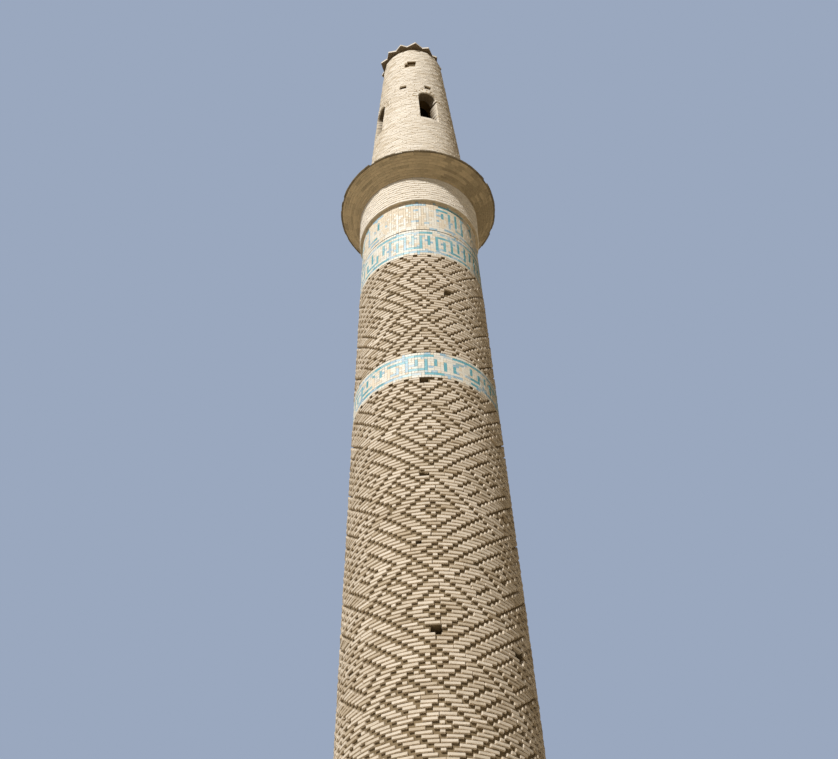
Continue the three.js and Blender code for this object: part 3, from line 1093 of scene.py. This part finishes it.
class MINARET_OT_gallery(bpy.types.Operator):
    """Lays the plain neck, the flare of corbelled brick and the deck of the gallery"""

    bl_idname = "minaret.lay_gallery"
    bl_label = "Lay the gallery"

    def execute(self, context):
        size = sizes()
        relief = mortar_inset(NECK_RADIUS)
        nodes = tuple(f"gallery_{side}" for side in SIDES)
        profile = [(well_face(BAND_2_TOP), BAND_2_TOP), (NECK_RADIUS - relief, BAND_2_TOP)]
        for step in range(9):
            radius, level = flare(step / 8)
            profile.append((radius - relief, level))
        rim, bed = DECK_RADIUS - 0.05, DECK_LEVEL - MORTAR_DROP
        profile += [(rim, DECK_LEVEL - DECK_EDGE + 0.004), (rim, DECK_LEVEL - DECK_EDGE / 2),
                    (DECK_RADIUS - EDGE_DEPTH, bed), (well_face(DECK_LEVEL), bed)]
        place("gallery_mortar", ring_mesh("gallery_mortar", profile), pointing(), nodes=nodes)
        bricks = Bricks(41, tones=0.18, usual=0.95)
        pitch = (CORBEL_BOTTOM - BAND_2_TOP) / NECK_COURSES
        for course in range(NECK_COURSES):
            level = BAND_2_TOP + (course + 0.5) * pitch
            lay_plain_course(bricks, course, level, NECK_RADIUS, pitch - size.plain_joint, joint=0.006)
        bricks.piece("neck_bricks", pale_brick(), "pale_brick", nodes, wear=0.0035)
        flared = Bricks(42, tones=0.16)
        for course in range(CORBEL_COURSES):
            self.lay_flare(flared, course)
        self.lay_deck(flared)
        flared.piece("gallery_bricks", gallery_brick(), "pale_brick", nodes, wear=0.005, turn=0.016)
        edge = Bricks(43)
        self.lay_edge(edge)
        edge.piece("gallery_edge_bricks", edge_brick(), "pale_brick", nodes, wear=0.005, turn=0.016)
        return {"FINISHED"}

    def lay_flare(self, bricks, course):
        """One course of bricks laid end out and cut to the flare's slope."""
        chance = bricks.chance
        tone = 0.7 - 0.25 * (course / CORBEL_COURSES) ** 2 + chance.uniform(-0.2, 0.2)
        low, high = flare(course / CORBEL_COURSES), flare((course + 1) / CORBEL_COURSES)
        radius, level = flare((course + 0.5) / CORBEL_COURSES)
        out, up = high[0] - low[0], high[1] - low[1]
        count = round(math.tau * radius / 0.16)
        for i in range(count):
            width = math.tau * radius / count - chance.uniform(0.001, 0.004)
            face = math.sqrt(radius ** 2 - (width / 2) ** 2) - FACE_INSET - abs(chance.gauss(0, 0.0015))
            bearing = (i + 0.4 * course) * math.tau / count
            # Painted shade darkens the side away from the key light, most of all near the neck, and
            # rain has run in streaks
            streak = math.sin(23 * bearing) * math.sin(9 * bearing + 1)
            streak += 0.6 * math.sin(41 * bearing + 2)
            # Painted shade on the right side, away from the key light
            side = 0.9 - 0.4 * course / CORBEL_COURSES
            stained = tone - side * max(0.0, math.sin(bearing)) - 0.25 * streak
            bricks.add(bearing, level, face,
                       (width, 0.03, math.hypot(out, up) - chance.uniform(0.003, 0.007)),
                       tilt=-math.atan2(out, up), tone=min(1.0, max(0.0, chance.gauss(stained, 0.08))))

    def lay_edge(self, bricks):
        """The last course, which stands out a little and is broken along its edge."""
        chance = bricks.chance
        count = round(math.tau * DECK_RADIUS / 0.115)
        for i in range(count):
            width = math.tau * DECK_RADIUS / count - chance.uniform(0.002, 0.008)
            face = DECK_RADIUS - FACE_INSET - abs(chance.gauss(0, 0.005))
            if chance.random() < 0.08:
                face -= chance.uniform(0.006, 0.02)
            height = (DECK_EDGE - 0.004) * chance.uniform(0.85, 1.0)
            bricks.add(i * math.tau / count, DECK_LEVEL - 0.0025 - height / 2, face,
                       (width, EDGE_DEPTH, height), tone=chance.uniform(0.1, 0.5))

    def lay_deck(self, bricks):
        """Rings of bricks laid flat on the deck, from its edge to the turret."""
        chance, radius = bricks.chance, DECK_RADIUS - EDGE_DEPTH - 0.015
        ring = 0
        while radius > TURRET_RADIUS - 0.05:
            count = round(math.tau * radius / 0.12)
            for i in range(count):
                width = math.tau * (radius - DECK_BRICK[0] / 2) / count - 0.007
                bricks.add((i + 0.5 * (ring % 2)) * math.tau / count,
                           DECK_LEVEL - 0.0155 - abs(chance.gauss(0, 0.001)), radius,
                           (width, *DECK_BRICK), tone=chance.uniform(0.2, 0.6))
            radius -= DECK_RING
            ring += 1


class MINARET_OT_turret(bpy.types.Operator):
    """Lays the turret in plain courses around its windows"""

    bl_idname = "minaret.lay_turret"
    bl_label = "Lay the turret"

    def execute(self, context):
        size = sizes()
        windows, holes = turret_openings()
        relief = mortar_inset(turret_face(TURRET_TOP))
        numbers = range(1, len(WINDOW_BEARINGS) + 1)
        nodes = (tuple(f"turret_wall_{side}" for side in SIDES)
                 + tuple(f"turret_pier_{number}" for number in numbers)
                 + tuple(f"turret_upper_{number}" for number in numbers))
        pitch = (TURRET_TOP - DECK_LEVEL) / TURRET_COURSES
        recess = TURRET_TOP - pitch
        profile = [(well_face(DECK_LEVEL), DECK_LEVEL), (turret_face(DECK_LEVEL) - relief, DECK_LEVEL),
                   (turret_face(recess) - relief, recess), (RECESS_RADIUS - relief, recess),
                   (RECESS_RADIUS - relief, TURRET_TOP), (well_face(TURRET_TOP), TURRET_TOP)]
        core = cut("turret_mortar", ring_mesh("turret_mortar", profile), windows + holes, turret_face)
        place("turret_mortar", core, turret_pointing(), nodes=nodes)
        bricks = Bricks(51, tones=0.18, usual=0.66, bleach=1.1)
        for course in range(TURRET_COURSES):
            level = DECK_LEVEL + (course + 0.5) * pitch
            radius = turret_face(level) if course < TURRET_COURSES - 1 else RECESS_RADIUS
            lay_plain_course(bricks, course, level, radius, pitch - size.plain_joint,
                             windows + holes, brick=0.21, joint=0.006, scatter=0.0035)
        for window in windows:
            lay_arch(bricks, window, turret_face)
        bricks.piece("turret_bricks", turret_brick(), "pale_brick", nodes, turn=0.018, wear=0.004)
        return {"FINISHED"}


class MINARET_OT_crown(bpy.types.Operator):
    """Sets the saw-tooth course and the brick roof"""

    bl_idname = "minaret.set_crown"
    bl_label = "Set the crown"

    def execute(self, context):
        middle, rim = CROWN_TOP - TOOTH_HEIGHT / 2 - 0.004, TOOTH_VALLEY - 0.04
        place("crown_mortar", ring_mesh("crown_mortar", [
            (0.2, TURRET_TOP), (rim, TURRET_TOP), (rim, CROWN_TOP), (0.2, CROWN_TOP)],
            CORE_FACETS // 2), pointing())
        teeth = Bricks(61, tones=0.15)
        for tooth in range(TEETH):
            bearing = TOOTH_BEARING + math.tau * tooth / TEETH
            level = middle - TOOTH_DROP * (tooth % 3)
            slip = point(bearing, TOOTH_SLIPS[tooth % len(TOOTH_SLIPS)], level)
            teeth.put(TOOTH_SHIFT + slip, (0.0, 0.0, bearing), (1.0, 1.0, TOOTH_HEIGHT))
        teeth.piece("saw_tooth_bricks", pale_brick(), "pale_brick", ("saw_tooth_course",),
                    shape=self.tooth_shape(), turn=0.01, wear=0.004, grain=0.04)
        self.lay_roof()
        return {"FINISHED"}

    def tooth_shape(self):
        """A tooth in plan, its tip towards -Y, one unit high. It laps over its neighbours."""
        half = math.pi / TEETH

        def build(work):
            tip = towards(0) * (TOOTH_TIP - 0.002)
            right, left = (tip + (towards(turn) * TOOTH_VALLEY - tip) * 1.5 for turn in (half, -half))
            inner = [towards(half) * TOOTH_ROOT, towards(-half) * TOOTH_ROOT]
            blunt = [tip + Vector((x, 0.004, 0)) for x in (-0.006, 0.006)]
            plan = [*blunt, right, *inner, left]
            close(work, [[work.verts.new(spot + Vector((0, 0, z))) for spot in plan]
                         for z in (-0.5, 0.5)])
        mesh = mesh_from("tooth_shape", build)
        # Painted shade: faces that point down are marked, to take the painted shade colour
        under = mesh.attributes.new("under", "FLOAT", "FACE")
        under.data.foreach_set("value", [float(face.normal.z < -0.5) for face in mesh.polygons])
        return new_object("tooth_shape", mesh)

    def lay_roof(self):
        """A low dome of bricks in rings, over a mortar bed."""
        inset = 0.008
        arc = [math.pi / 2 * step / 16 for step in range(16)]

        def build(work):
            rings = [[work.verts.new(point(math.tau * s / ROOF_SIDES,
                                           max(CAP_RADIUS * math.cos(angle) - inset, 0.01),
                                           CROWN_TOP + (CAP_RISE - inset) * math.sin(angle)))
                      for s in range(ROOF_SIDES)] for angle in arc]
            top = work.verts.new((0, 0, CROWN_TOP + CAP_RISE - inset))
            work.faces.new(list(reversed(rings[0])))
            bridge(work, rings)
            for here, after in zip(rings[-1], rings[-1][1:] + rings[-1][:1]):
                work.faces.new((here, after, top))
        place("roof_mortar", mesh_from("roof_mortar", build), pointing(), nodes=("roof_cap",))
        bricks = Bricks(62)
        ahead = math.pi / 2 / ROOF_RINGS
        for number in range(ROOF_RINGS):
            angle = ahead * (number + 0.5)
            radius, level = CAP_RADIUS * math.cos(angle), CAP_RISE * math.sin(angle)
            down, out = CAP_RADIUS * math.sin(angle), CAP_RISE * math.cos(angle)
            tilt, height = math.atan2(down, out), math.hypot(down, out) * ahead
            count = max(5, round(math.tau * radius / 0.12))
            for i in range(count):
                bearing = (i + 0.5 * (number % 2)) * math.tau / count
                bricks.add(bearing, CROWN_TOP + level - 0.003, radius - 0.003,
                           (math.tau * radius / count - 0.008, 0.03, height - 0.007), tilt=tilt)
        bricks.piece("roof_bricks", pale_brick(), "pale_brick", ("roof_cap",))


class MINARET_OT_paving(bpy.types.Operator):
    """Gives the ground floor and the sill their brick paving"""

    bl_idname = "minaret.finish_paving"
    bl_label = "Finish the paving"

    def execute(self, context):
        material, add = new_material("trodden_brick_paving")
        if add is not None:
            clay = tint("paving")
            where = add("ShaderNodeTexCoord", out="Object")
            # Square bricks of 225 mm with joints of 9 mm, their arrises rounded by feet
            paved = add("ShaderNodeTexBrick", {
                "Vector": where, "Color1": shaded(clay, 1.1), "Color2": shaded(clay, 0.86),
                "Mortar": shaded(clay, 0.5), "Scale": 1.0, "Mortar Size": 0.009, "Mortar Smooth": 0.6,
                "Brick Width": 0.225, "Row Height": 0.225}, "Color")
            grit = add("ShaderNodeTexNoise", {"Vector": where, "Scale": 1 / 0.006, "Detail": 3,
                                              "Roughness": 0.7})
            body = grained(add, paved, 0.2, grit, ((0.3, shaded(clay, 0.6)), (0.7, shaded(clay, 1.2))))
            rough = add("ShaderNodeMapRange", (grit, 0.3, 0.7, 0.7, 0.92))
            raised = add("ShaderNodeMapRange", (paved.node.outputs["Fac"], 0.0, 1.0, 1.0, 0.0))
            height = add("ShaderNodeMix", {0: 0.15, 6: raised, 7: grit}, 2, data_type="RGBA")
            surfaced(add, body, rough, height, 0.004)
        for name in ("ground_floor", "door_sill"):
            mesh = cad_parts[name].data
            mesh.materials.clear()
            mesh.materials.append(material)
        return {"FINISHED"}


class MINARET_OT_stage(bpy.types.Operator):
    """Sets the studio floor, the light and the camera"""

    bl_idname = "minaret.set_stage"
    bl_label = "Set the stage"

    def execute(self, context):
        self.floor()
        self.light(context.scene)
        self.camera(context.scene)
        return {"FINISHED"}

    def floor(self):
        """A plain pale floor, finely speckled, a millimetre under the foot."""
        corners = ((-1, -1), (1, -1), (1, 1), (-1, 1))
        mesh = bpy.data.meshes.new("studio_floor")
        mesh.from_pydata([(x * FLOOR_REACH, y * FLOOR_REACH, -0.001) for x, y in corners], [],
                         [(0, 1, 2, 3)])
        material, add = new_material("studio_floor_paint")
        if add is not None:
            paint = tint("floor")
            where = add("ShaderNodeTexCoord", out="Object")
            speck = add("ShaderNodeTexNoise", {"Vector": where, "Scale": 1 / 0.4, "Detail": 3,
                                               "Roughness": 0.55})
            body = add("ShaderNodeValToRGB", (speck,),
                       stops=((0.3, shaded(paint, 0.97)), (0.7, shaded(paint, 1.02))))
            shader = add("ShaderNodeBsdfPrincipled", {"Base Color": body, "Roughness": 0.9})
            add("ShaderNodeOutputMaterial", {"Surface": shader})
        mesh.materials.append(material)
        new_object("studio_floor", mesh)

    def light(self, scene):
        """A key light, high on the left of the view, a low back light and a pale backdrop all round."""
        for name, strength, spread, bearing, height in LAMPS:
            lamp = bpy.data.lights.new(name, "SUN")
            lamp.energy, lamp.angle = strength, math.radians(spread)
            lamp.color = linear(LAMP_COLOUR, False)
            light, height = new_object(name, lamp), math.radians(height)
            way = towards(math.radians(bearing)) * math.cos(height) + Vector((0, 0, math.sin(height)))
            light.rotation_euler = way.to_track_quat("Z", "Y").to_euler()
            light.location = way * 40
        world = bpy.data.worlds.new("studio_backdrop")
        world.use_nodes = True
        scene.world = world
        world.node_tree.nodes.clear()
        add = partial(add_node, world.node_tree)
        where = add("ShaderNodeTexCoord", out="Generated")
        right = add("ShaderNodeSeparateXYZ", (where,), "X")
        glow = add("ShaderNodeMix", {0: add("ShaderNodeMapRange", (right, -1.0, 0.8)),
                                     6: tint("backdrop"), 7: tint("shade_side")}, 2, data_type="RGBA")
        fill = add("ShaderNodeBackground", {"Color": glow, "Strength": FILL_STRENGTH})
        seen = add("ShaderNodeBackground", {"Color": tint("backdrop"), "Strength": BACKDROP_STRENGTH})
        # The backdrop is seen paler than the fill light that it gives
        path = add("ShaderNodeLightPath", out="Is Camera Ray")
        add("ShaderNodeOutputWorld", {"Surface": add("ShaderNodeMixShader", (path, fill, seen))})
        scene.view_settings.view_transform = "Standard"

    def camera(self, scene):
        """A camera near the foot that looks up at the tower, leant a little to the left."""
        pitched = Matrix.Rotation(CAMERA_PITCH + math.pi / 2, 4, "X")
        turn = pitched @ Matrix.Rotation(CAMERA_ROLL, 4, "Z")
        data = bpy.data.cameras.new("camera")
        data.sensor_width, data.lens = SENSOR_WIDTH, FOCAL_LENGTH * SENSOR_WIDTH
        data.clip_start, data.clip_end = 0.1, 1000
        camera = new_object("camera", data)
        camera.matrix_world = Matrix.Translation(CAMERA_PLACE) @ turn
        scene.camera = camera


class MINARET_PT_panel(bpy.types.Panel):
    """Lists the pieces of the minaret"""

    bl_idname = "MINARET_PT_panel"
    bl_label = "Minaret"
    bl_space_type = "VIEW_3D"
    bl_region_type = "UI"
    bl_category = "Minaret"

    def draw(self, context):
        for operator in OPERATORS:
            self.layout.operator(operator.bl_idname)
        for group in (context.scene.minaret_sizes, context.scene.minaret_colours):
            box = self.layout.box()
            for name in group.__annotations__:
                box.prop(group, name)


OPERATORS = (MINARET_OT_foot, MINARET_OT_shaft, MINARET_OT_bands, MINARET_OT_gallery,
             MINARET_OT_turret, MINARET_OT_crown, MINARET_OT_paving, MINARET_OT_stage)
CLASSES = (MinaretSizes, MinaretColours) + OPERATORS + (MINARET_PT_panel,)


def register():
    for each in CLASSES:
        bpy.utils.register_class(each)
    bpy.types.Scene.minaret_sizes = PointerProperty(type=MinaretSizes)
    bpy.types.Scene.minaret_colours = PointerProperty(type=MinaretColours)


def unregister():
    del bpy.types.Scene.minaret_colours
    del bpy.types.Scene.minaret_sizes
    for each in reversed(CLASSES):
        bpy.utils.unregister_class(each)


def main():
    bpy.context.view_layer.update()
    register()
    bpy.ops.minaret.lay_foot()
    bpy.ops.minaret.lay_shaft()
    bpy.ops.minaret.set_glazed_bands()
    bpy.ops.minaret.lay_gallery()
    bpy.ops.minaret.lay_turret()
    bpy.ops.minaret.set_crown()
    bpy.ops.minaret.finish_paving()
    bpy.ops.minaret.set_stage()
    for name in ("brick_shape", "tile_shape", "tooth_shape"):
        bpy.data.objects.remove(bpy.data.objects[name])


if __name__ == "__main__":
    main()
